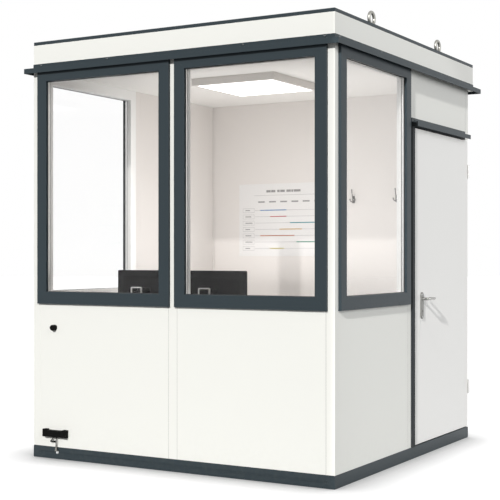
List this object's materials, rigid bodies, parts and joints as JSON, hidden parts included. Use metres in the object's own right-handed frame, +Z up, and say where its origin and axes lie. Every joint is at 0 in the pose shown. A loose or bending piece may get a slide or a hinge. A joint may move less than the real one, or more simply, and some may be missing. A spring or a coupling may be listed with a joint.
{
  "type": "office container",
  "caption": "Small insulated site office cabin with large windows, hinged steel door, flat roof with drip rail and lifting eyes.",
  "frame": {"origin": "centre of the cabin's walls in plan, on the underside of the base", "axes": "+Z up, -Y towards the front wall with its pair of windows, +X towards the side with the door"},
  "size_m": [2.148, 2.229, 2.6214],
  "materials": {
    "anthracite_metal": "powder-coated anthracite grey, satin",
    "white_metal": "powder-coated off-white, satin",
    "door_metal": "powder-coated off-white, satin",
    "floor_covering": "vinyl floor covering, matt",
    "window_glass": "clear double glazing",
    "white_plastic": "white window beads, satin",
    "ceiling_metal": "painted off-white, matt",
    "roof_metal": "coated steel sheet, matt",
    "zinc_steel": "zinc-plated steel",
    "threshold_aluminium": "natural aluminium, brushed",
    "hinge_steel": "satin steel",
    "handle_metal": "satin nickel-plated",
    "black_plastic": "black plastic, matt",
    "lead_sheath": "black cable sheath",
    "light_metal": "painted sheet, matt",
    "light_panel": "opal diffuser, lit",
    "planner_paper": "coated paper on board",
    "hook_metal": "dark painted metal",
    "worktop_laminate": "light laminate board",
    "stand_metal": "light grey painted metal"
  },
  "bodies": {
    "cabin": {"base_frame": "anthracite_metal", "floor_joists": "anthracite_metal", "floor_panel": "floor_covering", "corner_posts": "white_metal", "front_mid_post": "white_metal", "left_mid_post": "white_metal", "rear_mid_post": "white_metal", "door_post": "white_metal", "front_lower_panels": "white_metal", "right_lower_panel": "white_metal", "left_lower_panel": "white_metal", "left_wall_panel": "white_metal", "rear_wall_panels": "white_metal", "door_header_panel": "white_metal", "front_window_frames": "anthracite_metal", "right_window_frame": "anthracite_metal", "left_window_frame": "anthracite_metal", "window_panes": "window_glass", "window_inner_frames": "white_plastic", "roof_frame": "white_metal", "roof_panel": "ceiling_metal", "roof_skin": "roof_metal", "roof_trim": "anthracite_metal", "drip_rail": "anthracite_metal", "lifting_eyes": "zinc_steel", "door_frame": "anthracite_metal", "door_threshold": "threshold_aluminium", "door_hood": "anthracite_metal", "hinge_brackets": "hinge_steel", "cable_gland": "black_plastic", "bonding_box": "black_plastic", "earth_lead": "lead_sheath", "earth_lug": "zinc_steel", "light_housing": "light_metal", "light_diffuser": "light_panel", "wall_planner": "planner_paper", "coat_hooks": "hook_metal", "worktop": "worktop_laminate", "worktop_legs": "worktop_laminate", "screens": "black_plastic", "screen_stands": "stand_metal"},
    "door": {"door_leaf": "door_metal", "hinge_knuckles": "hinge_steel", "handle_plates": "handle_metal", "lock_cylinder": "handle_metal"},
    "lever": {"lever_handle": "handle_metal"}
  },
  "joints": [
    {"name": "door_hinge", "type": "hinge", "parent": "cabin", "child": "door", "pos_m": [1.0305, 1.0125, 1.07], "axis": [0, 0, 1], "range_deg": [0, 100]},
    {"name": "lever_turn", "type": "hinge", "parent": "door", "child": "lever", "pos_m": [1.0225, 0.188, 0.963], "axis": [-1, 0, 0], "range_deg": [0, 40], "stiffness_Nm_per_rad": 1, "springref_deg": -28.65}
  ]
}
